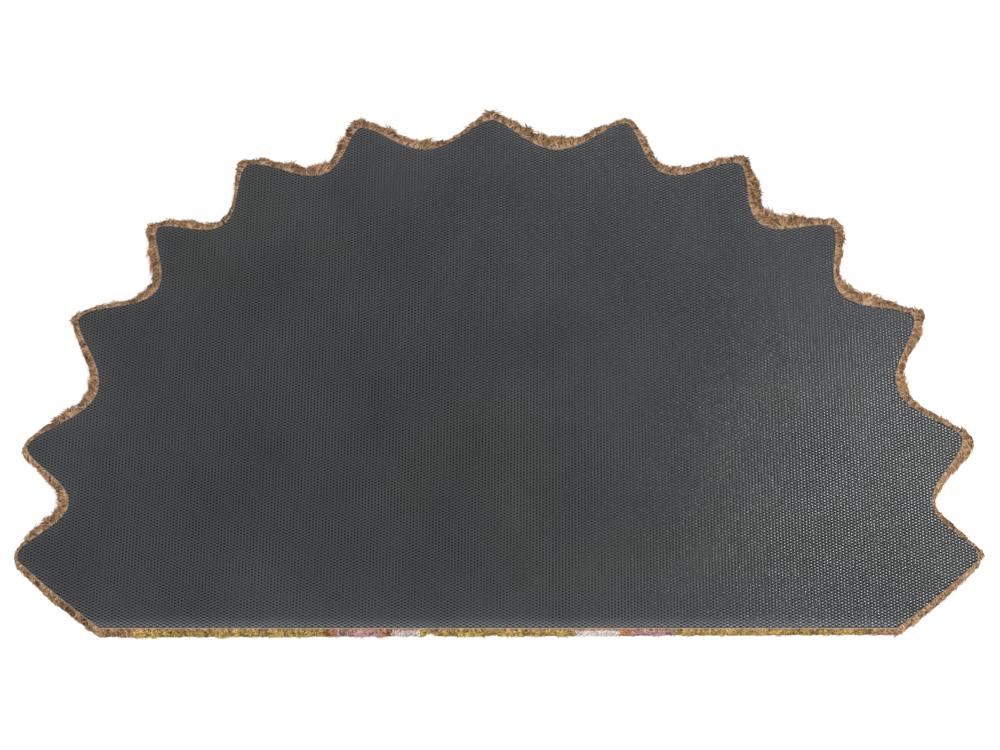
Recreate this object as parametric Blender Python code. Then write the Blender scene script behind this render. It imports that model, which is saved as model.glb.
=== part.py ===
"""Half-sun coir doormat, lying face down with its dark backing up.

The backing is a flat sheet of PVC, cut with twelve scallops along a half sun, two slanting sides and
a straight edge. The coir pile hangs from it and stands on the floor: a low slab whose lumpy rim
spreads past the backing along the scallops, and stays nearly upright under the straight edge.
Outline and pile are worked out in millimetres from the middle of the straight edge.
"""
import math
import random

import bmesh
import bpy
from mathutils import Vector

MM = 0.001

# Heights, in millimetres
PILE_HEIGHT = 12.7
GAP = 0.3
BACKING_THICKNESS = 2.0

# The tips of the half sun, anticlockwise from the right, and how far the pile spreads there
TIPS = [
    # x, y, spread
    (373.0, 61.0, 6.0),
    (368.0, 158.5, 10.5),
    (335.5, 266.0, 10.5),
    (274.0, 347.5, 10.0),
    (199.5, 406.5, 11.5),
    (106.0, 445.0, 7.5),
    (-7.5, 448.0, 12.0),
    (-117.0, 440.5, 13.5),
    (-210.5, 405.0, 10.5),
    (-282.0, 346.5, 10.5),
    (-341.5, 264.5, 7.0),
    (-376.0, 151.0, 3.5),
    (-377.0, 60.5, 3.0),
]

# The scallop after each tip: its depth, how far its deepest point leans towards the next tip
# as a share of its half width, and how far the pile spreads on its first flank, in its middle
# and on its last flank
SCALLOPS = [
    # depth, lean, first, middle, last
    (30.5, -0.10, 7.0, 2.5, 3.5),
    (35.0, -0.03, 8.0, 9.5, 4.0),
    (34.0, 0.0, 13.0, 13.5, 5.0),
    (35.0, 0.0, 15.0, 18.0, 11.5),
    (32.5, 0.08, 9.0, 11.5, 7.5),
    (27.0, 0.03, 9.5, 15.0, 13.0),
    (24.5, 0.0, 6.0, 11.0, 10.5),
    (30.5, -0.12, 8.5, 13.0, 10.5),
    (32.0, 0.06, 3.0, 7.0, 10.0),
    (35.5, -0.08, 7.5, 10.5, 6.0),
    (37.0, -0.02, 5.5, 10.0, 9.0),
    (37.0, 0.04, 3.0, 9.5, 10.0),
]
SCALLOP_FULLNESS = 1.85

# The fan of fibres right at a tip: what it adds to the spread, and how far along it fades
TIP_FAN = 2.5
TIP_FAN_WIDTH = 8.0

# The base, as x, y and spread: shoulders under the outer tips, and the feet of the straight edge
RIGHT_SHOULDER = (373.0, 55.0, 1.0)
LEFT_SHOULDER = (-376.5, 55.0, 2.5)
RIGHT_FOOT = (307.0, 0.0, 0.6)
LEFT_FOOT = (-309.5, 0.0, 1.8)
SIDE_BOW = 1.2

# The pile's side, from the backing down to the floor
SECTION = [
    # share of the spread, height
    (0.0, PILE_HEIGHT),
    (0.6, 11.6),
    (1.0, 7.0),
    (0.8, 0.0),
]

# Tufts along the pile's rim: the spread's share between two tufts, and what a tuft adds to it
TUFT_WIDTH = 13.0
TUFT_HOLLOW = 0.85
TUFT_SWELL = 0.3
TUFT_LEAST = 0.3
TUFT_SEED = 11

# Distance between outline points
BACKING_STEP = 5.5
PILE_STEP = 3.25

PVC_COLOUR = (0.045, 0.051, 0.054, 1.0)
PVC_ROUGHNESS = 0.5
COIR_COLOUR = (0.40, 0.23, 0.11, 1.0)
COIR_ROUGHNESS = 0.9
SMOOTH_ANGLE = math.radians(35.0)


def clear_scene():
    for thing in list(bpy.data.objects):
        bpy.data.objects.remove(thing, do_unlink=True)


def principled(name, colour, roughness):
    material = bpy.data.materials.new(name)
    material.use_nodes = True
    shader = material.node_tree.nodes["Principled BSDF"]
    shader.inputs["Base Color"].default_value = colour
    shader.inputs["Roughness"].default_value = roughness
    shader.inputs["Metallic"].default_value = 0.0
    material.diffuse_color = colour
    return material


def eased(values, place):
    """A smooth passage through values set at whole numbers, read at any place between them."""
    left = min(int(place), len(values) - 2)
    ease = (1 - math.cos(math.pi * (place - left))) / 2
    return values[left] + (values[left + 1] - values[left]) * ease


def scallop(start, end, shape, step):
    """Points from one tip up to the next, hollowed towards the middle, each with its spread."""
    depth, lean = shape[:2]
    spreads = (start[2], *shape[2:], end[2])
    first = Vector(start[:2])
    last = Vector(end[:2])
    half = (last - first) / 2
    inward = Vector((-half.y, half.x)).normalized()
    count = round(2 * half.length / step)
    points = []
    for i in range(count):
        along = 2 * i / count - 1
        leaning = along - lean * (1 - along * along)
        hollow = depth * (1 - leaning * leaning) ** SCALLOP_FULLNESS
        spread = eased(spreads, (along + 1) / 2 * (len(spreads) - 1))
        from_tip = (1 - abs(along)) * half.length
        spread += TIP_FAN * math.exp(-((from_tip / TIP_FAN_WIDTH) ** 2))
        points.append(((first + last) / 2 + half * along + inward * hollow, spread))
    return points


def side(start, end, bow, step):
    """Points of one straight or slightly bowed side, from its start up to its end."""
    first = Vector(start[:2])
    last = Vector(end[:2])
    run = last - first
    outward = Vector((run.y, -run.x)).normalized()
    count = round(run.length / step)
    points = []
    for i in range(count):
        share = i / count
        spread = start[2] + (end[2] - start[2]) * share
        points.append((first + run * share + outward * bow * math.sin(math.pi * share), spread))
    return points


def outline(step):
    """The backing's whole outline, anticlockwise, as pairs of a point and the pile's spread there."""
    points = []
    for start, end, shape in zip(TIPS, TIPS[1:], SCALLOPS):
        points += scallop(start, end, shape, step)
    points += side(TIPS[-1], LEFT_SHOULDER, 0.0, step)
    points += side(LEFT_SHOULDER, LEFT_FOOT, SIDE_BOW, step)
    points += side(LEFT_FOOT, RIGHT_FOOT, 0.0, step)
    points += side(RIGHT_FOOT, RIGHT_SHOULDER, SIDE_BOW, step)
    points += side(RIGHT_SHOULDER, TIPS[0], 0.0, step)
    return points


def outward_normals(points):
    normals = []
    for i, point in enumerate(points):
        run = points[(i + 1) % len(points)] - points[i - 1]
        normals.append(Vector((run.y, -run.x)).normalized())
    return normals


def tuft_fullness(points):
    """For each outline point, 1 where a tuft stands out most and less between two tufts."""
    draw = random.Random(TUFT_SEED)
    strength = []
    fullness = []
    distance = 0.0
    for i, point in enumerate(points):
        distance += (point - points[i - 1]).length if i else 0.0
        tuft, share = divmod(distance / TUFT_WIDTH, 1)
        while len(strength) <= tuft:
            strength.append(draw.uniform(TUFT_LEAST, 1.0))
        swell = strength[int(tuft)] * math.sin(math.pi * share)
        fullness.append(TUFT_HOLLOW + TUFT_SWELL * swell)
    return fullness


def pile_rings():
    """The pile's outline at each height of its section, from the backing down to the floor."""
    rows = outline(PILE_STEP)
    points = [point for point, spread in rows]
    normals = outward_normals(points)
    fullness = tuft_fullness(points)
    rings = []
    for share, height in SECTION:
        ring = []
        for (point, spread), normal, full in zip(rows, normals, fullness):
            place = point + normal * spread * full * share
            ring.append((place.x, place.y, height))
        rings.append(ring)
    return rings


def backing_rings():
    points = [point for point, spread in outline(BACKING_STEP)]
    top = [(point.x, point.y, BACKING_THICKNESS) for point in points]
    underside = [(point.x, point.y, 0.0) for point in points]
    return [top, underside]


def solid_from_rings(name, rings, material):
    """A closed solid: a flat cap on the top ring, bands down the side and a flat cap underneath."""
    shape = bmesh.new()
    levels = []
    for ring in rings:
        levels.append([shape.verts.new([value * MM for value in place]) for place in ring])
    caps = [shape.faces.new(levels[0]), shape.faces.new(reversed(levels[-1]))]
    for upper, lower in zip(levels, levels[1:]):
        for i in range(len(upper)):
            shape.faces.new((upper[i], upper[i - 1], lower[i - 1], lower[i]))
    shape.normal_update()
    bmesh.ops.triangulate(shape, faces=caps)
    bmesh.ops.recalc_face_normals(shape, faces=shape.faces)
    mesh = bpy.data.meshes.new(name)
    shape.to_mesh(mesh)
    shape.free()
    mesh.shade_smooth()
    mesh.set_sharp_from_angle(angle=SMOOTH_ANGLE)
    mesh.materials.append(material)
    solid = bpy.data.objects.new(name, mesh)
    bpy.context.scene.collection.objects.link(solid)
    return solid


def box_centre(rings):
    """The middle of the ground that the rings cover, in millimetres."""
    across = [place[0] for ring in rings for place in ring]
    deep = [place[1] for ring in rings for place in ring]
    return (min(across) + max(across)) / 2, (min(deep) + max(deep)) / 2


def build():
    clear_scene()
    rings = pile_rings()
    centre_x, centre_y = box_centre(rings)
    doormat = bpy.data.objects.new("doormat", None)
    bpy.context.scene.collection.objects.link(doormat)
    doormat.location = (-centre_x * MM, -centre_y * MM, 0.0)

    coir = principled("coir", COIR_COLOUR, COIR_ROUGHNESS)
    pile = solid_from_rings("coir_pile", rings, coir)
    pile.parent = doormat

    pvc = principled("pvc", PVC_COLOUR, PVC_ROUGHNESS)
    backing = solid_from_rings("pvc_backing", backing_rings(), pvc)
    backing.parent = doormat
    backing.location.z = (PILE_HEIGHT + GAP) * MM


build()
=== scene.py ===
"""Looks of the half-sun coir doormat, lying face down with its embossed backing up.

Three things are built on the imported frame: the PVC sheet with its cut edge and pebbles, the coir body
with its bristly face, and the loose fibres that stand out round the rim.
Everything is worked out in millimetres from the middle of the straight edge, with +Y towards the
scallops and Z up from the floor.
"""

import math

import bpy
import numpy as np
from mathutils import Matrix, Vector
from mathutils.geometry import tessellate_polygon


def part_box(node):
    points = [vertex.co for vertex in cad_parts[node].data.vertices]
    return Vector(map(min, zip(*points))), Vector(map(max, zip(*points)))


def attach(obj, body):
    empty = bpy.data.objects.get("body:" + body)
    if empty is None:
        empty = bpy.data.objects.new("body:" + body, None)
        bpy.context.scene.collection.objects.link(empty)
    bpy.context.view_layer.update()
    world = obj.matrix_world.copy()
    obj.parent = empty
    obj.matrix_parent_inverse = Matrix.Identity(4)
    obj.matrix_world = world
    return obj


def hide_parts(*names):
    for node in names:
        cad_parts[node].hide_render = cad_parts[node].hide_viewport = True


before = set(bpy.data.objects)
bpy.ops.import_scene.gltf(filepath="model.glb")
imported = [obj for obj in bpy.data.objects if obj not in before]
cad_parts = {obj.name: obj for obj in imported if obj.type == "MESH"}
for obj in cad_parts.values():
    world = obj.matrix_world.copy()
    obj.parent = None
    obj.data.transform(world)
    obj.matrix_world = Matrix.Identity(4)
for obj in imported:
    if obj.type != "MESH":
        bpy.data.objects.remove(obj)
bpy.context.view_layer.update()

MM = 0.001
draw = np.random.default_rng(20)

# The backing's least x and y from the middle of the straight edge, which place that middle in the row frame
BACKING_CORNER = (-377.0, 0.0)
backing_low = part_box("pvc_backing")[0]
EDGE_MIDDLE = np.array((
    backing_low.x / MM - BACKING_CORNER[0],
    backing_low.y / MM - BACKING_CORNER[1],
    0.0,
))

# Heights, in millimetres
PILE_TOP = 12.7
WIDEST = 7.0
SHEET_UNDERSIDE = 13.0
TAN_TOP = 14.3
SHEET_TOP = 14.62
PEBBLE_HEIGHT = 0.38

# The lattice of pebbles: columns run along Y, and each is half a step off its neighbours
COLUMN_STEP = 2.546
PEBBLE_STEP = 2.49
LATTICE_TURN = math.radians(0.5)
PEBBLE_HALF_WIDTH = 1.05
PEBBLE_HALF_LENGTH = 0.85
PEBBLE_SIDES = 6
PEBBLE_RIM_SLOPE = math.radians(8.0)
PEBBLE_TILT = math.radians(1.0)
PEBBLE_SWELL = (0.94, 1.06)
PEBBLE_LEAST_HEIGHT = 0.86
PEBBLE_SUNK = 0.03

# The lattice before it is cut to the outline: its first and last column and row, and a rough box
# round the mat
PEBBLE_COLUMNS = (-170, 170)
PEBBLE_ROWS = (-20, 209)
MAT_HALF_WIDTH = 380
MAT_LENGTH = 450

# Pebbles at the edge: none is nearer than the first value, those within the next two are cut off
# and lower, and where one would come closer than the clearance it is pulled in
PEBBLE_EDGE_GAP = 0.35
PEBBLE_CUT_WITHIN = 1.4
PEBBLE_LOW_WITHIN = 0.9
CUT_CLEARANCE = 0.12
PULLED_IN_SHARE = 0.12

# Lighter pebbles: how much and over which width, worn towards the rim and at it, and paler along the
# straight edge
WORN_TOWARDS_RIM = 0.24
WORN_TOWARDS_RIM_WIDTH = 40.0
WORN_AT_RIM = 0.15
WORN_AT_RIM_WIDTH = 4.0
PALER_NEAR_EDGE = 0.25
NEAR_EDGE_PALER_WIDTH = 9.0

# How far the sheet reaches over the coir at the straight edge
NEAR_EDGE_OVERHANG = 0.25

# The camera, in the same millimetres
CAMERA_AIM = (0.0, 213.4, 15.0)
CAMERA_DISTANCE = 2187.0
CAMERA_ELEVATION = math.radians(66.0)
CAMERA_LENS = 97.92
SENSOR_WIDTH = 36.0


def row_frame(points):
    """Metres in the row frame from millimetres off the middle of the straight edge."""
    return (np.asarray(points, dtype=float) + EDGE_MIDDLE) * MM


def mesh_object(name, points, triangles, materials, slots=None, values=None, normals=None):
    """A piece from numpy arrays of points in millimetres and of triangles."""
    mesh = bpy.data.meshes.new(name)
    mesh.vertices.add(len(points))
    mesh.vertices.foreach_set("co", row_frame(points).astype(np.float32).ravel())
    mesh.loops.add(3 * len(triangles))
    mesh.loops.foreach_set("vertex_index", np.asarray(triangles, dtype=np.int32).ravel())
    mesh.polygons.add(len(triangles))
    mesh.polygons.foreach_set("loop_start", np.arange(0, 3 * len(triangles), 3, dtype=np.int32))
    mesh.update(calc_edges=True)
    for material in materials:
        mesh.materials.append(material)
    if slots is not None:
        mesh.polygons.foreach_set("material_index", np.asarray(slots, dtype=np.int32))
    for label, column in (values or {}).items():
        layer = mesh.attributes.new(label, "FLOAT", "POINT")
        layer.data.foreach_set("value", np.asarray(column, dtype=np.float32))
    mesh.shade_smooth()
    if normals is not None:
        mesh.normals_split_custom_set_from_vertices(normals)
    piece = bpy.data.objects.new(name, mesh)
    bpy.context.scene.collection.objects.link(piece)
    return piece


# The outline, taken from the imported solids

# How near a height a point counts as on it, and a place inside the mat to sort the outline round
LEVEL_TOLERANCE = 0.05
SORT_CENTRE_Y = 150.0

# A tip outreaches this many points on each side, and lies above this y
TIP_NEIGHBOURS = 6
TIPS_ABOVE = 40.0

# The pile's reach is taken up to this far; where nothing is hit before, it is small
LONGEST_REACH = 40.0
SMALL_REACH = 1.0

# An outward bend from here on is a corner, and the stations there fan out as along this radius
CORNER_BEND = math.radians(12.0)
FAN_RADIUS = 7.0


def ring_at(node, height):
    """The node's outline at one height, anticlockwise, in millimetres."""
    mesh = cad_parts[node].data
    places = np.empty(3 * len(mesh.vertices), dtype=np.float32)
    mesh.vertices.foreach_get("co", places)
    places = places.reshape(-1, 3).astype(float) / MM - EDGE_MIDDLE
    level = places[abs(places[:, 2] - height) < LEVEL_TOLERANCE][:, :2]
    level = np.unique(level.round(3), axis=0)
    turn = np.arctan2(level[:, 1] - SORT_CENTRE_Y, level[:, 0])
    return level[np.argsort(turn)]


def outward(points):
    """Unit normals of a closed outline, pointing out of it."""
    run = np.roll(points, -1, axis=0) - np.roll(points, 1, axis=0)
    normals = np.stack((run[:, 1], -run[:, 0]), axis=1)
    return normals / np.linalg.norm(normals, axis=1, keepdims=True)


def reach_to(ring, starts, directions):
    """How far it is from each start, along its direction, to the first crossing of the ring."""
    run = np.roll(ring, -1, axis=0) - ring
    reach = np.full(len(starts), 1e9)
    for k, (start, direction) in enumerate(zip(starts, directions)):
        cross = direction[0] * run[:, 1] - direction[1] * run[:, 0]
        cross = np.where(abs(cross) < 1e-9, 1e-9, cross)
        offset = ring - start
        along = (offset[:, 0] * run[:, 1] - offset[:, 1] * run[:, 0]) / cross
        share = (offset[:, 0] * direction[1] - offset[:, 1] * direction[0]) / cross
        hits = along[(share >= 0) & (share <= 1) & (along > 0)]
        if len(hits):
            reach[k] = hits.min()
    return np.where(reach > LONGEST_REACH, SMALL_REACH, reach)


def tips_of(ring):
    """The outline's tips: points farther from the straight edge's middle than all near them."""
    far = np.hypot(ring[:, 0], ring[:, 1])
    tips = []
    for k, (x, y) in enumerate(ring):
        around = np.arange(k - TIP_NEIGHBOURS, k + TIP_NEIGHBOURS + 1) % len(ring)
        if y > TIPS_ABOVE and far[k] == far[around].max():
            tips.append((x, y))
    return np.array(tips)


outline = ring_at("coir_pile", PILE_TOP)
widest = ring_at("coir_pile", WIDEST)
tips = tips_of(outline)


def rim_stations(step):
    """Places all round the rim with the way out there, fanned at the tips, and the pile's reach."""
    points = outline
    edges = np.roll(points, -1, axis=0) - points
    lengths = np.linalg.norm(edges, axis=1)
    headings = np.arctan2(edges[:, 1], edges[:, 0])
    places = []
    angles = []
    for k in range(len(points)):
        bend = (headings[k] - headings[k - 1] + math.pi) % (2 * math.pi) - math.pi
        corner = bend > CORNER_BEND
        if corner:
            fan = max(2, round(bend * FAN_RADIUS / step))
            for share in (np.arange(fan) + 0.5) / fan:
                places.append(points[k])
                angles.append(headings[k - 1] + bend * share)
        count = max(1, round(lengths[k] / step))
        for share in np.arange(count) / count:
            places.append(points[k] + edges[k] * share)
            angles.append(headings[k] if corner else headings[k - 1] + bend * (0.5 + share / 2))
    angles = np.array(angles)
    ways = np.stack((np.sin(angles), -np.cos(angles)), axis=1)
    places = np.array(places)
    return places, ways, reach_to(widest, places, ways)


def edge_distance(points):
    """Distance to the outline, positive inside it, and the nearest point on it."""
    starts = outline
    runs = np.roll(outline, -1, axis=0) - outline
    squares = (runs ** 2).sum(axis=1)
    distance = np.empty(len(points))
    nearest = np.empty((len(points), 2))
    for low in range(0, len(points), 4000):
        block = points[low:low + 4000]
        offset = block[:, None, :] - starts[None]
        share = np.clip((offset * runs).sum(axis=2) / squares, 0, 1)
        foot = starts + share[..., None] * runs
        gap = np.linalg.norm(block[:, None, :] - foot, axis=2)
        pick = gap.argmin(axis=1)
        above = starts[None, :, 1] > block[:, None, 1]
        above_next = above != np.roll(above, -1, axis=1)
        rise = np.where(abs(runs[:, 1]) < 1e-12, 1e-12, runs[:, 1])
        crossing = starts[:, 0] + (block[:, None, 1] - starts[:, 1]) / rise * runs[:, 0]
        inside = (above_next & (block[:, None, 0] < crossing)).sum(axis=1) % 2 == 1
        rows = np.arange(len(block))
        distance[low:low + 4000] = np.where(inside, 1, -1) * gap[rows, pick]
        nearest[low:low + 4000] = foot[rows, pick]
    return distance, nearest


# Materials

class Nodes:
    """A short way to write a material's node tree."""

    def __init__(self, name):
        self.material = bpy.data.materials.new(name)
        self.material.use_nodes = True
        self.tree = self.material.node_tree
        self.shader = self.tree.nodes["Principled BSDF"]

    def add(self, kind, inputs=(), **settings):
        node = self.tree.nodes.new("ShaderNode" + kind)
        for key, value in settings.items():
            setattr(node, key, value)
        for socket, value in dict(inputs).items():
            self.put(node.inputs[socket], value)
        return node

    def put(self, socket, value):
        if isinstance(value, bpy.types.NodeSocket):
            self.tree.links.new(value, socket)
        else:
            socket.default_value = value

    def place(self):
        return self.add("TexCoord").outputs["Object"]

    def value(self, name):
        return self.add("Attribute", attribute_name=name).outputs["Fac"]

    def maths(self, operation, first, second=0.0, clamp=False):
        node = self.add("Math", {0: first, 1: second}, operation=operation, use_clamp=clamp)
        return node.outputs[0]

    def noise(self, scale, detail=3.0, roughness=0.55, vector=None):
        inputs = {"Vector": vector or self.place(), "Scale": scale, "Detail": detail, "Roughness": roughness}
        return self.add("TexNoise", inputs).outputs[0]

    def span(self, value, low, high, to_low=0.0, to_high=1.0):
        inputs = {"Value": value, "From Min": low, "From Max": high, "To Min": to_low, "To Max": to_high}
        return self.add("MapRange", inputs).outputs[0]

    def mix(self, share, first, second, blend="MIX"):
        node = self.add("Mix", data_type="RGBA", blend_type=blend)
        self.put(node.inputs[0], share)
        self.put(node.inputs[6], first)
        self.put(node.inputs[7], second)
        return node.outputs[2]

    def scaled(self, colour, factor):
        """The colour made lighter or darker by a factor."""
        factors = self.add("CombineColor", {0: factor, 1: factor, 2: factor}).outputs[0]
        return self.mix(1.0, colour, factors, "MULTIPLY")

    def ramp(self, value, stops):
        node = self.add("ValToRGB", {0: value})
        marks = node.color_ramp.elements
        while len(marks) < len(stops):
            marks.new(0.5)
        for mark, (position, colour) in zip(marks, stops):
            mark.position = position
            mark.color = (*colour, 1.0)
        return node.outputs[0]

    def bump(self, height, distance, strength=1.0):
        inputs = {"Height": height, "Distance": distance, "Strength": strength}
        return self.add("Bump", inputs).outputs[0]

    def finish(self, **sockets):
        for name, value in sockets.items():
            self.put(self.shader.inputs[name.replace("_", " ")], value)
        return self.material


def grey(level, blue=1.0):
    """A grey of the given linear level, with its blue side changed a little."""
    return (level, level * (1 + 0.55 * (blue - 1)), level * blue, 1.0)


# The lattice's colours, its pits painted shade on a flat sheet: how round and how wide they are, and the
# level it is softened towards
PIT_ROUNDNESS = 0.5
PIT_FLOOR = -0.9
LATTICE_MEAN = 0.7
PVC_LOOKS = {
    # grey in a pit (painted shade) and on top, least and most roughness, specular level
    "sheet": (0.000, 0.047, 0.60, 0.75, 0.0),
    "pebble": (0.000, 0.013, 0.16, 0.22, 0.65),
}
PVC_BLUE = 1.14
PALER_GREY = grey(0.11, 1.12)
DUST_GREY = grey(0.13, 0.95)
WARM_PATCH = (1.12, 1.03, 0.88, 1.0)
COOL_PATCH = (0.90, 1.0, 1.10, 1.0)
NEAR_EDGE_LIGHTER = 1.65


def pit_shade_wave(n):
    """From 0 in the middle of a pit to 1 on the top of a pebble, smoothly over the whole lattice; the dark
    pits are painted shade.
    """
    turned = n.add("Mapping", {
        "Vector": n.place(),
        "Location": tuple(EDGE_MIDDLE * MM),
        "Rotation": (0.0, 0.0, -LATTICE_TURN),
        "Scale": (COLUMN_STEP * MM / math.pi, PEBBLE_STEP * MM / (2 * math.pi), 1.0),
    }, vector_type="TEXTURE")
    split = n.add("SeparateXYZ", {0: turned.outputs[0]})
    across, along = split.outputs[0], split.outputs[1]
    dots = n.maths("MULTIPLY", n.maths("COSINE", across), n.maths("COSINE", along))
    columns = n.maths("COSINE", n.maths("MULTIPLY", across, 2.0))
    wave = n.maths("SUBTRACT", dots, n.maths("MULTIPLY", columns, PIT_ROUNDNESS))
    wave = n.span(wave, PIT_FLOOR, 1.0 - PIT_ROUNDNESS)
    softness = n.span(n.noise(110.0, 5.0, 0.7), 0.3, 0.7, 0.55, 1.15)
    off_mean = n.maths("SUBTRACT", wave, LATTICE_MEAN)
    return n.maths("ADD", n.maths("MULTIPLY", off_mean, softness), LATTICE_MEAN)


def pvc_material(name, kind):
    """Dark PVC: its lattice of pits and pebbles with painted shade in the pits, soft patches of other greys,
    dust and a fine grain.
    """
    n = Nodes(name)
    pit, top, least, most, level = PVC_LOOKS[kind]
    # The lattice's dark pits are painted shade: the sheet is flat there.
    base = n.mix(pit_shade_wave(n), grey(pit, PVC_BLUE), grey(top, PVC_BLUE))
    patches = n.span(n.noise(14.0, 4.0), 0.3, 0.7, 0.84, 1.16)
    base = n.scaled(base, patches)
    warm = n.span(n.noise(3.5, 2.0), 0.45, 0.75, 0.0, 0.5)
    base = n.mix(warm, base, n.mix(1.0, base, WARM_PATCH, "MULTIPLY"))
    shifted = n.add("Mapping", {"Vector": n.place(), "Location": (3.1, 7.7, 0.0)}).outputs[0]
    cool = n.span(n.noise(9.0, 2.0, vector=shifted), 0.52, 0.75, 0.0, 0.6)
    base = n.mix(cool, base, n.mix(1.0, base, COOL_PATCH, "MULTIPLY"))
    if kind == "pebble":
        base = n.mix(n.value("paler"), base, PALER_GREY)
    # Lighter towards the straight edge, over its last few millimetres
    deep = n.maths("SUBTRACT", n.add("SeparateXYZ", {0: n.place()}).outputs[1], EDGE_MIDDLE[1] * MM)
    lighter = n.span(deep, 0.0, NEAR_EDGE_PALER_WIDTH * MM, NEAR_EDGE_LIGHTER, 1.0)
    base = n.scaled(base, lighter)
    specks = n.span(n.noise(420.0, 2.0, 0.7), 0.70, 0.78, 0.0, 0.4)
    base = n.mix(specks, base, DUST_GREY)
    rough = n.span(n.noise(60.0, 3.0), 0.3, 0.7, least, most)
    normal = n.bump(n.noise(1900.0, 2.0), 0.000012, 0.6)
    return n.finish(Base_Color=base, Roughness=rough, Normal=normal, Specular_IOR_Level=level)


def cut_edge_material():
    """The sheet's cut edge: PVC on top and the tan roots of the fibres cast into it."""
    n = Nodes("pvc_cut_edge")
    height = n.add("SeparateXYZ", {0: n.place()}).outputs[2]
    streak = n.noise(700.0, 3.0, 0.6)
    ragged = n.maths("ADD", height, n.span(streak, 0.3, 0.7, -0.00025, 0.00025))
    tan = n.ramp(streak, (
        (0.30, (0.24, 0.15, 0.09)),
        (0.44, (0.40, 0.27, 0.17)),
        (0.60, (0.53, 0.39, 0.27)),
    ))
    top = n.span(ragged, TAN_TOP * MM - 0.00006, TAN_TOP * MM + 0.00006)
    base = n.mix(top, tan, grey(0.04, 1.05))
    normal = n.bump(streak, 0.0005)
    return n.finish(Base_Color=base, Roughness=0.85, Normal=normal, Specular_IOR_Level=0.25)


# Dyed half rings on the coir, centred on the straight edge: outer radius on the right and on the left
DYE_CENTRE_X = -2.0
DYE_RINGS = [
    # right, left, colour
    (60.0, 60.5, "gold"),
    (94.0, 82.0, "white"),
    (103.0, 90.0, "rust"),
    (138.6, 125.4, "pink"),
    (138.7, 135.4, "rust"),
    (286.8, 280.5, "gold"),
]
COIR_COLOURS = {
    # dark and light of each dye
    "natural": ((0.08, 0.032, 0.012), (0.66, 0.40, 0.21)),
    "gold": ((0.08, 0.045, 0.006), (0.72, 0.49, 0.15)),
    "white": ((0.28, 0.21, 0.19), (0.94, 0.85, 0.81)),
    "pink": ((0.12, 0.05, 0.045), (0.72, 0.43, 0.43)),
    "rust": ((0.10, 0.035, 0.010), (0.66, 0.31, 0.11)),
    "stain": ((0.26, 0.19, 0.03), (0.60, 0.50, 0.12)),
    "undyed": ((0.28, 0.17, 0.10), (0.68, 0.46, 0.31)),
}

# The dye stops just under the backing, between these heights
UNDYED_ROOTS = (12.4, 12.8)


def coir_mix(n, shade, name):
    dark, light = COIR_COLOURS[name]
    return n.mix(shade, (*dark, 1.0), (*light, 1.0))


def dyed_colour(n, shade):
    """Coir colour from the fibre's own shade, by the dyed half ring that the place lies in."""
    split = n.add("SeparateXYZ", {0: n.place()})
    centre_x = (DYE_CENTRE_X + EDGE_MIDDLE[0]) * MM
    centre_y = EDGE_MIDDLE[1] * MM
    across = n.maths("SUBTRACT", split.outputs[0], centre_x)
    deep = n.maths("MAXIMUM", n.maths("SUBTRACT", split.outputs[1], centre_y), 0.0)
    squares = n.maths("ADD", n.maths("MULTIPLY", across, across), n.maths("MULTIPLY", deep, deep))
    radius = n.maths("SQRT", squares)
    wander = n.span(n.noise(230.0, 2.0), 0.3, 0.7, -0.0016, 0.0016)
    ragged = n.maths("ADD", radius, wander)
    right = n.span(n.maths("DIVIDE", across, n.maths("MAXIMUM", radius, 0.001)), -1.0, 1.0)
    colour = coir_mix(n, shade, "natural")
    for to_right, to_left, dye in reversed(DYE_RINGS):
        edge = n.span(right, 0.0, 1.0, to_left * MM, to_right * MM)
        within = n.maths("LESS_THAN", ragged, edge)
        colour = n.mix(within, colour, coir_mix(n, shade, dye))
    above = n.span(split.outputs[2], *(height * MM for height in UNDYED_ROOTS))
    return n.mix(above, colour, coir_mix(n, shade, "undyed"))


def fibre_material():
    """Loose coir fibres: each its own shade, with painted shade towards its root, a few of them dyed gold.
    """
    n = Nodes("coir_fibre")
    shade = n.value("shade")
    colour = dyed_colour(n, shade)
    colour = n.mix(n.value("stained"), colour, coir_mix(n, shade, "stain"))
    fleck = n.span(n.noise(1300.0, 2.0), 0.3, 0.7, 0.75, 1.15)
    # Painted shade towards the root, deeper in the pile
    root = n.span(n.value("along"), 0.0, 0.5, 0.45, 1.0)
    colour = n.scaled(n.scaled(colour, fleck), root)
    normal = n.bump(n.noise(2600.0, 2.0), 0.0002, 0.5)
    rough = n.span(n.noise(900.0, 2.0), 0.3, 0.7, 0.62, 0.85)
    return n.finish(Base_Color=colour, Roughness=rough, Normal=normal, Specular_IOR_Level=0.15)


def body_material():
    """The mass of fibres behind the loose ones: short bright ends, with painted shade in the gaps between
    them, in the hollows of the rim and in its turned-in foot.
    """
    n = Nodes("coir_body")
    ends = n.noise(750.0, 3.0, 0.65)
    clumps = n.noise(160.0, 3.0)
    shade = n.maths("MULTIPLY", n.span(ends, 0.36, 0.68), n.span(clumps, 0.3, 0.65, 0.45, 1.0), clamp=True)
    colour = dyed_colour(n, shade)
    # Painted shade in the gaps between the fibre ends and in the body's hollows
    gaps = n.span(ends, 0.36, 0.52, 0.12, 0.6)
    painted_shade_in_hollows = n.span(n.value("hollow_shade"), 0.0, 0.8, 1.0, 0.4)
    colour = n.scaled(n.scaled(colour, gaps), painted_shade_in_hollows)
    normal = n.bump(ends, 0.0014)
    return n.finish(Base_Color=colour, Roughness=0.9, Normal=normal, Specular_IOR_Level=0.15)


# The PVC sheet and its pebbles

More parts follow.
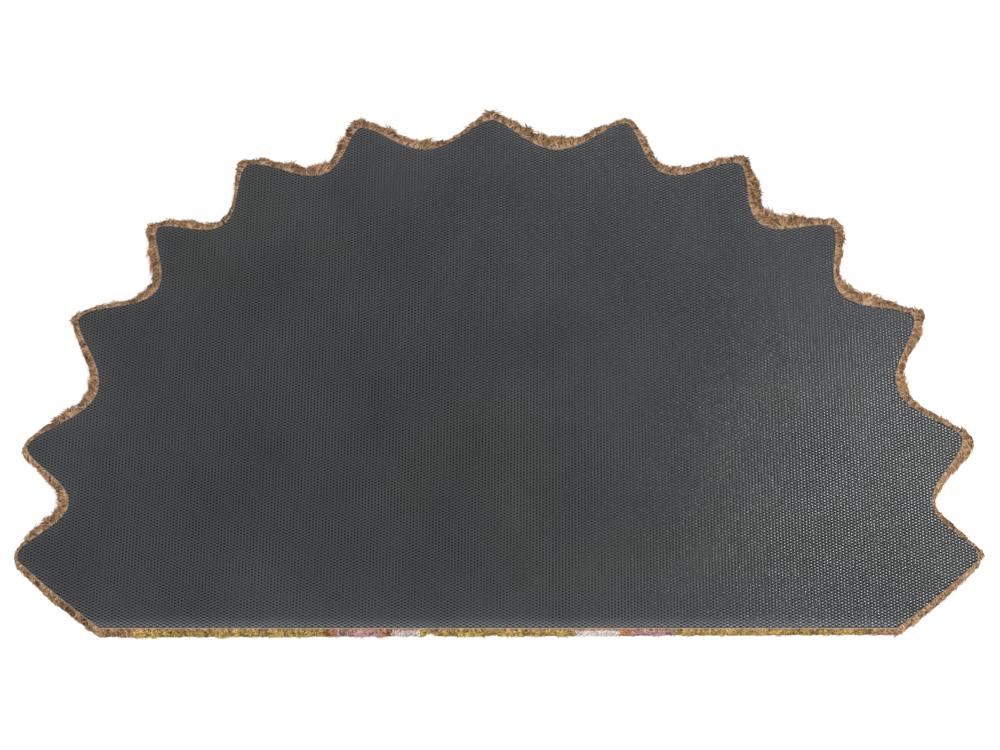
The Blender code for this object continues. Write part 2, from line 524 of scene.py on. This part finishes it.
def flat_sheet(top_material, edge_material):
    """The whole closed sheet: flat top and underside, and the cut edge all round."""
    count = len(outline)
    levels = (SHEET_TOP, SHEET_TOP - 0.2, SHEET_UNDERSIDE)
    inset = (0.12, 0.0, 0.0)
    normals = outward(outline)
    points = []
    for height, pull in zip(levels, inset):
        ring = outline - normals * pull
        ring[:, 1] -= np.where(ring[:, 1] < 1.0, NEAR_EDGE_OVERHANG, 0.0)
        points.append(np.column_stack((ring, np.full(count, height))))
    cap = np.array(tessellate_polygon([[Vector((x, y, 0.0)) for x, y in outline]]))
    a, b, c = (outline[cap[:, k]] for k in range(3))
    area = (b[:, 0] - a[:, 0]) * (c[:, 1] - a[:, 1]) - (b[:, 1] - a[:, 1]) * (c[:, 0] - a[:, 0])
    cap = np.where((area > 0)[:, None], cap, cap[:, ::-1])
    here = np.arange(count)
    there = np.roll(here, -1)
    triangles = [cap, cap[:, ::-1] + 2 * count]
    slots = [np.zeros(len(cap)), np.zeros(len(cap))]
    for level in range(2):
        upper, lower = level * count, (level + 1) * count
        triangles.append(np.column_stack((upper + here, lower + here, lower + there)))
        triangles.append(np.column_stack((upper + here, lower + there, upper + there)))
        slots += [np.ones(count), np.ones(count)]
    piece = mesh_object(
        "pvc_sheet", np.concatenate(points), np.concatenate(triangles), [top_material, edge_material],
        slots=np.concatenate(slots),
    )
    piece.data.set_sharp_from_angle(angle=math.radians(30.0))
    return piece


def lattice():
    """Centres of all pebbles inside the outline, with their distance from the edge."""
    columns = np.arange(PEBBLE_COLUMNS[0], PEBBLE_COLUMNS[1] + 1)
    rows = np.arange(PEBBLE_ROWS[0], PEBBLE_ROWS[1] + 1)
    column, row = np.meshgrid(columns, rows, indexing="ij")
    across = column * COLUMN_STEP
    along = row * PEBBLE_STEP + np.where(column % 2, PEBBLE_STEP / 2, 0.0)
    turned_x = across * math.cos(LATTICE_TURN) + along * math.sin(LATTICE_TURN)
    turned_y = along * math.cos(LATTICE_TURN) - across * math.sin(LATTICE_TURN)
    centres = np.column_stack((turned_x.ravel(), turned_y.ravel()))
    near = (abs(centres[:, 0]) < MAT_HALF_WIDTH) & (centres[:, 1] > 0) & (centres[:, 1] < MAT_LENGTH)
    centres = centres[near]
    distance = edge_distance(centres)[0]
    keep = distance > PEBBLE_EDGE_GAP
    return centres[keep], distance[keep]


def pebbles(name, centres, distance, material):
    """Low domes, each a ring and a top; those at the edge are cut off along it."""
    turn = np.arange(PEBBLE_SIDES) * 2 * math.pi / PEBBLE_SIDES
    ring = np.column_stack((np.cos(turn) * PEBBLE_HALF_WIDTH, np.sin(turn) * PEBBLE_HALF_LENGTH))
    swell = draw.uniform(*PEBBLE_SWELL, (len(centres), 1, 1))
    rims = centres[:, None, :] + ring * swell
    close = distance < PEBBLE_CUT_WITHIN
    flat = rims[close].reshape(-1, 2)
    gap, foot = edge_distance(flat)
    pulled_in = foot + (centres[close].repeat(PEBBLE_SIDES, axis=0) - foot) * PULLED_IN_SHARE
    flat = np.where((gap < CUT_CLEARANCE)[:, None], pulled_in, flat)
    rims[close] = flat.reshape(-1, PEBBLE_SIDES, 2)
    count = len(centres)
    height = PEBBLE_HEIGHT * draw.uniform(PEBBLE_LEAST_HEIGHT, 1.0, count)
    height *= np.clip(distance / PEBBLE_LOW_WITHIN, 0.5, 1.0)
    points = np.empty((count, PEBBLE_SIDES + 1, 3))
    points[:, :PEBBLE_SIDES, :2] = rims
    points[:, :PEBBLE_SIDES, 2] = SHEET_TOP - PEBBLE_SUNK
    points[:, PEBBLE_SIDES, :2] = centres
    points[:, PEBBLE_SIDES, 2] = SHEET_TOP + height
    normals = np.zeros_like(points)
    normals[:, :PEBBLE_SIDES, 0] = np.cos(turn) * math.tan(PEBBLE_RIM_SLOPE)
    normals[:, :PEBBLE_SIDES, 1] = np.sin(turn) * math.tan(PEBBLE_RIM_SLOPE)
    normals[:, :, :2] += draw.normal(0.0, math.tan(PEBBLE_TILT), (count, 1, 2))
    normals[:, :, 2] = 1.0
    normals /= np.linalg.norm(normals, axis=2, keepdims=True)
    side = np.arange(PEBBLE_SIDES)
    one = np.column_stack((side, (side + 1) % PEBBLE_SIDES, np.full(PEBBLE_SIDES, PEBBLE_SIDES)))
    triangles = (one[None] + np.arange(count)[:, None, None] * (PEBBLE_SIDES + 1)).reshape(-1, 3)
    # Worn towards the rim and at it, and paler along the straight edge
    paler = WORN_TOWARDS_RIM * np.exp(-distance / WORN_TOWARDS_RIM_WIDTH)
    paler += WORN_AT_RIM * np.exp(-(distance / WORN_AT_RIM_WIDTH) ** 2)
    paler += PALER_NEAR_EDGE * np.exp(-(centres[:, 1] / NEAR_EDGE_PALER_WIDTH) ** 2)
    return mesh_object(
        name, points.reshape(-1, 3), triangles, [material],
        values={"paler": np.repeat(paler, PEBBLE_SIDES + 1)}, normals=normals.reshape(-1, 3),
    )


# The coir body: its side all round, and its bristly face underneath

PROFILE = [
    # share of the reach, height
    (0.0, 12.9),
    (0.30, 12.2),
    (0.52, 11.0),
    (0.68, 9.5),
    (0.78, 7.8),
    (0.82, 6.0),
    (0.80, 4.2),
    (0.72, 2.6),
    (0.60, 1.3),
    (0.42, 0.3),
]
UPRIGHT_SHARE = 0.8
BODY_STEP = 1.5

# The side turns in under the mat and up behind the face's border, so that no gap opens between them
TURNED_IN = [
    # inset, height
    (3.0, 0.8),
    (6.0, 2.4),
]
TURNED_IN_SHADE = 0.6

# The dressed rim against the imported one: fuller in the scallops, drawn in beside a tip, pointed at it
REACH_EXTRA = 0.6
LEAST_REACH = 0.8
SCALLOP_FULL = 1.13
TIP_FLANK_DRAWN_IN = 0.40
TIP_FLANK_WIDTH = 14.0
TIP_POINT = 0.25
TIP_POINT_WIDTH = 2.2

# The flank that follows a tip anticlockwise is thinner: by how much, how far past the tip, how wide
PAST_TIP_DRAWN_IN = 2.1
PAST_TIP = 14.0
PAST_TIP_WIDTH = 9.0

# More reach under the straight edge in its middle, less of it to the right, and on the slanting sides
STRAIGHT_EXTRA = 0.8
STRAIGHT_EXTRA_SLOPE = -1 / 300
SLANT_EXTRA = 2.5
SLANT_EXTRA_MIDDLE = 18.0
SLANT_EXTRA_WIDTH = 22.0

# A bite out of the pile's foot in the near wall
NOTCH_MIDDLE = -54.5
NOTCH_HALF_WIDTH = 3.4
NOTCH_HEIGHT = 5.5
NOTCH_DRAWN_IN = 0.6


def smooth_noise(positions, pitch, seed):
    """Random values at whole multiples of pitch along a line, eased in between."""
    source = np.random.default_rng(seed).uniform(-1, 1, int(positions.max() / pitch) + 3)
    cell = np.floor(positions / pitch).astype(int)
    share = positions / pitch - cell
    ease = share * share * (3 - 2 * share)
    return source[cell] * (1 - ease) + source[cell + 1] * ease


def on_slant(places, ways):
    """Which places lie on the two slanting sides."""
    return (places[:, 1] < 56) & (ways[:, 1] < -0.3) & (ways[:, 1] >= -0.95)


def dressed_reach(places, ways, packed):
    """How far the coir reaches out of the backing at each place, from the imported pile's reach there."""
    x, y = places.T
    gaps = np.hypot(*(places[:, None, :] - tips[None]).transpose(2, 0, 1))
    from_tip = gaps.min(axis=1)
    tip_x, tip_y = tips[gaps.argmin(axis=1)].T
    past_tip = from_tip * np.sign(tip_x * y - tip_y * x)
    factor = SCALLOP_FULL - TIP_FLANK_DRAWN_IN * np.exp(-(from_tip / TIP_FLANK_WIDTH) ** 2)
    factor += TIP_POINT * np.exp(-(from_tip / TIP_POINT_WIDTH) ** 2)
    reach = packed * factor + REACH_EXTRA
    past = np.exp(-((past_tip - PAST_TIP) / PAST_TIP_WIDTH) ** 2)
    reach -= np.where(y > 62, PAST_TIP_DRAWN_IN * past, 0.0)
    reach = np.maximum(reach, LEAST_REACH)
    straight = ways[:, 1] < -0.95
    bulge = np.exp(-((y - SLANT_EXTRA_MIDDLE) / SLANT_EXTRA_WIDTH) ** 2)
    reach += np.where(straight, STRAIGHT_EXTRA + STRAIGHT_EXTRA_SLOPE * x, 0.0)
    reach += np.where(on_slant(places, ways), SLANT_EXTRA * bulge, 0.0)
    bite = np.exp(-((x - NOTCH_MIDDLE) / NOTCH_HALF_WIDTH) ** 4) * straight
    return reach * (1 - NOTCH_DRAWN_IN * bite), bite


# Unevenness along the rim: pitch and seed of the random values, and their strength
LUMPS = [
    (4.6, 90, 0.6),
    (2.1, 91, 0.4),
]
LUMP_SHARE = 0.20
SWELL = (2.7, 93, 0.35)

# Places where the pile's foot is lifted off the floor: pitch, seed, strength, threshold and most
FOOT_LIFTS = [
    (5.0, 71, 7.0, 4.6, 2.4),
    (2.3, 72, 3.0, 0.9, 1.8),
]

# The side splays out where the reach passes the first value, and fully after the second more
SPLAY_FROM = 2.2
SPLAY_OVER = 3.0


class Rim:
    """The coir body's surface: a place on it from a station on the rim and a share of the way down."""

    def __init__(self, step):
        self.step = step
        self.places, self.ways, packed = rim_stations(step)
        self.count = len(self.places)
        self.reach, bite = dressed_reach(self.places, self.ways, packed)
        along = np.arange(self.count) * step
        self.splay = np.clip((self.reach - SPLAY_FROM) / SPLAY_OVER, 0.0, 1.0)
        self.lump = sum(smooth_noise(along, pitch, seed) * strength for pitch, seed, strength in LUMPS)
        pitch, seed, strength = SWELL
        self.full = self.reach * (1 + LUMP_SHARE * self.lump) + strength * smooth_noise(along, pitch, seed)
        self.lift = NOTCH_HEIGHT * bite
        for pitch, seed, strength, threshold, most in FOOT_LIFTS:
            self.lift += np.clip(smooth_noise(along, pitch, seed) * strength - threshold, 0.0, most)

    def surface(self, station, down, out=0.0):
        """Points at these stations, this share of the way down, and this far out of the body."""
        rows = np.linspace(0.0, 1.0, len(PROFILE))
        share = np.interp(down, rows, [row[0] for row in PROFILE])
        height = np.interp(down, rows, [row[1] for row in PROFILE])
        upright = np.minimum(UPRIGHT_SHARE, share * 4)
        splay = self.splay[station]
        spread = self.full[station] * (share * splay + upright * (1 - splay)) + out
        flat = self.places[station] + self.ways[station] * spread[:, None]
        return np.column_stack((flat, np.maximum(height, self.lift[station])))


def coir_body(material):
    """The lumpy side of the body, behind the loose fibres."""
    rim = Rim(BODY_STEP)
    here = np.arange(rim.count)
    inner = rim.places - rim.ways * 1.0
    points = [np.column_stack((inner, np.full(rim.count, 12.95)))]
    hollow_shade = [np.zeros(rim.count)]
    for level in range(2 * len(PROFILE) - 1):
        down = np.full(rim.count, level / (2 * len(PROFILE) - 2))
        ripple = draw.normal(0.0, 0.16, rim.count) * np.minimum(1.0, rim.reach * 0.2)
        points.append(rim.surface(here, down, ripple))
        # Painted shade where the rim's lumps dip in, and under the turned-in foot
        hollow_shade.append(np.clip(-rim.lump, 0.0, 1.0))
    for inset, height in TURNED_IN:
        inner = rim.places - rim.ways * inset
        points.append(np.column_stack((inner, np.full(rim.count, height))))
        hollow_shade.append(np.full(rim.count, TURNED_IN_SHADE))
    there = np.roll(here, -1)
    triangles = []
    for level in range(len(points) - 1):
        upper, lower = level * rim.count, (level + 1) * rim.count
        triangles.append(np.column_stack((upper + here, lower + here, lower + there)))
        triangles.append(np.column_stack((upper + here, lower + there, upper + there)))
    return mesh_object(
        "coir_side", np.concatenate(points), np.concatenate(triangles), [material],
        values={"hollow_shade": np.concatenate(hollow_shade)},
    )


# The face's grid: its steps, how far odd columns are shifted, its first and last column and row
FACE_STEP = 3.2
FACE_ROW_SHARE = 0.9
FACE_STAGGER_SHARE = 0.45
FACE_COLUMNS = (-120, 120)
FACE_ROWS = (-3, 169)

# How near the edge tufts stand, how far each is moved off the grid, and how high its end may lie
FACE_EDGE_GAP = 0.6
TUFT_SHIFT = 0.7
TUFT_END_HEIGHT = 1.9


def coir_face(material):
    """The bristly face on the floor: the tufts' ends on a staggered grid."""
    columns = np.arange(FACE_COLUMNS[0], FACE_COLUMNS[1] + 1)
    rows = np.arange(FACE_ROWS[0], FACE_ROWS[1] + 1)
    column, row = np.meshgrid(columns, rows, indexing="ij")
    across = column * FACE_STEP
    along = row * FACE_STEP * FACE_ROW_SHARE
    along += np.where(column % 2, FACE_STEP * FACE_STAGGER_SHARE, 0.0)
    flat = np.column_stack((across.ravel(), along.ravel()))
    distance = edge_distance(flat)[0]
    inside = distance > FACE_EDGE_GAP
    index = np.full(len(flat), -1)
    index[inside] = np.arange(inside.sum())
    index = index.reshape(column.shape)
    shift = draw.uniform(-TUFT_SHIFT, TUFT_SHIFT, (len(flat), 2))
    height = draw.uniform(0.0, TUFT_END_HEIGHT, len(flat))
    points = np.column_stack((flat + shift, height))[inside]
    low_left, up_left = index[:-1, :-1], index[:-1, 1:]
    low_right, up_right = index[1:, :-1], index[1:, 1:]
    even = (columns[:-1] % 2 == 0)[:, None] & np.ones_like(low_left, dtype=bool)
    sets = [
        (low_left, low_right, up_left, even), (low_right, up_right, up_left, even),
        (low_left, low_right, up_right, ~even), (low_left, up_right, up_left, ~even),
    ]
    triangles = []
    for a, b, c, where in sets:
        whole = where & (a >= 0) & (b >= 0) & (c >= 0)
        triangles.append(np.column_stack((a[whole], c[whole], b[whole])))
    return mesh_object("coir_face", points, np.concatenate(triangles), [material])


# Loose fibres round the rim

FIBRE_LAYERS = [
    # name, fibres, how far out of the body their tips stand: at least, and as a share of the reach
    ("coir_fibres_inner", 19000, 0.25, 0.10),
    ("coir_fibres_middle", 19000, 0.30, 0.20),
    ("coir_fibres_outer", 15000, 0.30, 0.32),
]
FIBRE_RADIUS = 0.36
FOOT_RAGGED = 1.1
TUFT_PITCH = 1.7
TUFT_BANDS = 9

# Where fibres start on the way down the body and how much of it they run, as shares of it
FIBRE_START = (-0.06, 0.88)
FIBRE_RUN = (0.04, 0.20)

# How tufts vary: their sideways lean and its most, and their shade, on a scale from 0 to 1
LEAN_SPREAD = 0.8
MOST_LEAN = 1.3
TONE_SPREAD = 0.20

# Painted shade on the left slanting side: how much darker its fibres are, on that scale
LEFT_SLANT_PAINTED_SHADE = 0.18

STAINS = [
    # x, y, radius of a few fibres stained gold
    (322.0, 244.0, 7.0),
    (104.0, 452.0, 8.0),
]


def spikes(roots, middles, tips, radius):
    """Thin three-sided spikes, bent at the middle, as points, triangles and the share along each."""
    axis = tips - roots
    axis /= np.linalg.norm(axis, axis=1, keepdims=True)
    helper = np.where(abs(axis[:, 2:]) > 0.8, (1.0, 0.0, 0.0), (0.0, 0.0, 1.0))
    side = np.cross(axis, helper)
    side /= np.linalg.norm(side, axis=1, keepdims=True)
    other = np.cross(axis, side)
    turn = draw.uniform(0, 2 * math.pi, len(roots))[:, None]
    rings = []
    for centre, size in ((roots, radius), (middles, radius * 0.9)):
        for k in range(3):
            angle = turn + k * 2 * math.pi / 3
            rings.append(centre + (side * np.cos(angle) + other * np.sin(angle)) * size[:, None])
    points = np.stack([*rings, tips], axis=1)
    pattern = []
    for k in range(3):
        beside = (k + 1) % 3
        pattern += [(k, beside, 3 + beside), (k, 3 + beside, 3 + k), (3 + k, 3 + beside, 6)]
    triangles = np.array(pattern)[None] + np.arange(len(roots))[:, None, None] * 7
    along = np.array((0.0, 0.0, 0.0, 0.5, 0.5, 0.5, 1.0))
    return points.reshape(-1, 3), triangles.reshape(-1, 3), np.tile(along, len(roots))


def loose_fibres(layer, material):
    """One layer of the rim's fibres: they run down the body in tufts, and their tips stand out of it."""
    name, total, least, most = layer
    rim = Rim(0.5)
    station = draw.integers(0, rim.count, total)
    start = draw.uniform(*FIBRE_START, total)
    run = draw.uniform(*FIBRE_RUN, total)
    tuft = (station * rim.step / TUFT_PITCH + draw.uniform(0, 1)).astype(int)
    band = np.clip(start * TUFT_BANDS, 0, TUFT_BANDS - 1).astype(int)
    tufts = (tuft.max() + 1, TUFT_BANDS)
    lean = np.clip(draw.normal(0.0, LEAN_SPREAD, tufts), -MOST_LEAN, MOST_LEAN)[tuft, band]
    tone = draw.normal(0.0, TONE_SPREAD, tufts)[tuft, band]
    stand = 0.15 + 0.95 * draw.uniform(0.0, 1.0, tufts)[tuft, band] ** 1.8
    stand *= 1.0 + 0.45 * np.clip(2.0 * rim.lump[station], -1.0, 1.0)
    way = rim.ways[station]
    tangent = np.column_stack((-way[:, 1], way[:, 0], np.zeros(total)))
    reach = rim.full[station]
    out = least + draw.uniform(0.3, 1.0, total) * stand * (most * reach + 0.25)
    out += FOOT_RAGGED * np.clip(start * 4 - 2.4, 0, 1) * np.clip(stand * 2.5 - 1.5, 0, 1)
    root = rim.surface(station, np.clip(start, 0, 1), np.full(total, -0.35))
    middle = rim.surface(station, np.clip(start + run * 0.5, 0, 1), 0.15 + out * 0.3)
    tip = rim.surface(station, np.clip(start + run, 0, 1), out)
    length = np.linalg.norm(tip - root, axis=1)
    sway = lean * length + draw.normal(0.0, 0.6, total)
    middle += tangent * (sway * 0.4)[:, None]
    tip += tangent * sway[:, None]
    tip[:, 2] = np.clip(tip[:, 2] + draw.normal(0.0, 0.9, total), 0.1, 12.6)
    middle[:, 2] = np.clip(middle[:, 2], 0.3, 12.75)
    points, triangles, along = spikes(root, middle, tip, FIBRE_RADIUS * draw.uniform(0.65, 1.3, total))
    # Each fibre's shade: its tuft's and its own tone, and painted shade, darker in the rim's hollows and
    # where it stands out little
    shade = 0.50 + tone + draw.normal(0.0, 0.24, total) + 0.12 * rim.lump[station]
    shade += 0.55 * (stand - 0.5)
    place = rim.places[station]
    # Painted shade on the left slanting side
    shade -= np.where(on_slant(place, way) & (place[:, 0] < 0), LEFT_SLANT_PAINTED_SHADE, 0.0)
    stained = np.zeros(total)
    for x, y, radius in STAINS:
        gap = np.hypot(tip[:, 0] - x, tip[:, 1] - y)
        stained[(gap < radius) & (draw.random(total) < 0.3)] = 1.0
    values = {
        "along": along,
        "shade": np.repeat(np.clip(shade, 0.0, 1.0), 7),
        "stained": np.repeat(stained, 7),
    }
    return mesh_object(name, points, triangles, [material], values=values)


# The studio

LIGHTS = [
    # name, place, aim, width, power in watts, spread in degrees
    ("overhead", (-200.0, -1000.0, 2400.0), (0.0, 200.0, 0.0), 1600.0, 40.0, 180.0),
    ("front", (500.0, -1500.0, 900.0), (0.0, 100.0, 0.0), 1200.0, 12.0, 180.0),
    ("high_right", (600.0, 1960.0, 1770.0), (100.0, 250.0, 0.0), 1100.0, 14.0, 180.0),
    ("right_softbox", (530.0, 500.0, 1092.0), (305.0, 100.0, 0.0), 180.0, 0.14, 36.0),
]
FLOOR_HALF_WIDTH = 4000.0


def pale_floor():
    """A plain floor."""
    n = Nodes("pale_floor")
    tone = n.span(n.noise(6.0, 2.0), 0.3, 0.7, 0.93, 0.95)
    n.finish(Base_Color=n.add("CombineColor", {0: tone, 1: tone, 2: tone}).outputs[0], Roughness=0.9)
    size = FLOOR_HALF_WIDTH
    corners = [(-size, -size, 0.0), (size, -size, 0.0), (size, size, 0.0), (-size, size, 0.0)]
    floor = mesh_object("floor", np.array(corners), [(0, 1, 2), (0, 2, 3)], [n.material])


def soft_light():
    """Soft light from all round, and a softbox that glints on the pebbles at the right."""
    world = bpy.data.worlds.new("soft_room")
    world.use_nodes = True
    world.node_tree.nodes["Background"].inputs["Color"].default_value = (1.0, 1.0, 1.0, 1.0)
    world.node_tree.nodes["Background"].inputs["Strength"].default_value = 0.9
    bpy.context.scene.world = world
    for name, place, aim, width, power, spread in LIGHTS:
        light = bpy.data.lights.new(name, "AREA")
        light.shape = "SQUARE"
        light.size = width * MM
        light.energy = power
        light.spread = math.radians(spread)
        lamp = bpy.data.objects.new(name, light)
        start = Vector(row_frame(place))
        lamp.location = start
        lamp.rotation_euler = (Vector(row_frame(aim)) - start).to_track_quat("-Z", "Y").to_euler()
        bpy.context.scene.collection.objects.link(lamp)


def place_camera():
    """The photo's camera: in front of the straight edge, looking steeply down."""
    camera = bpy.data.cameras.new("camera")
    camera.sensor_width = SENSOR_WIDTH
    camera.lens = CAMERA_LENS
    camera.clip_end = 50.0
    holder = bpy.data.objects.new("camera", camera)
    back = np.array((0.0, -math.cos(CAMERA_ELEVATION), math.sin(CAMERA_ELEVATION)))
    holder.location = row_frame(np.array(CAMERA_AIM) + back * CAMERA_DISTANCE)
    holder.rotation_euler = (math.pi / 2 - CAMERA_ELEVATION, 0.0, 0.0)
    bpy.context.scene.collection.objects.link(holder)
    bpy.context.scene.camera = holder
    bpy.context.scene.view_settings.view_transform = "Standard"


def build():
    pale_floor()
    soft_light()
    place_camera()
    valley = pvc_material("pvc_valley", "sheet")
    raised = pvc_material("pvc_pebble", "pebble")
    sheet = flat_sheet(valley, cut_edge_material())
    centres, distance = lattice()
    on_right = centres[:, 0] > 0
    pebbled = [
        pebbles("pvc_pebbles_left", centres[~on_right], distance[~on_right], raised),
        pebbles("pvc_pebbles_right", centres[on_right], distance[on_right], raised),
    ]
    coir = body_material()
    bodies = [coir_body(coir), coir_face(coir)]
    fibre = fibre_material()
    fibres = [loose_fibres(layer, fibre) for layer in FIBRE_LAYERS]
    for piece in (sheet, *pebbled):
        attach(piece, "root")
        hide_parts("pvc_backing")
    for piece in (*bodies, *fibres):
        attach(piece, "root")
        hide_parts("coir_pile")


build()
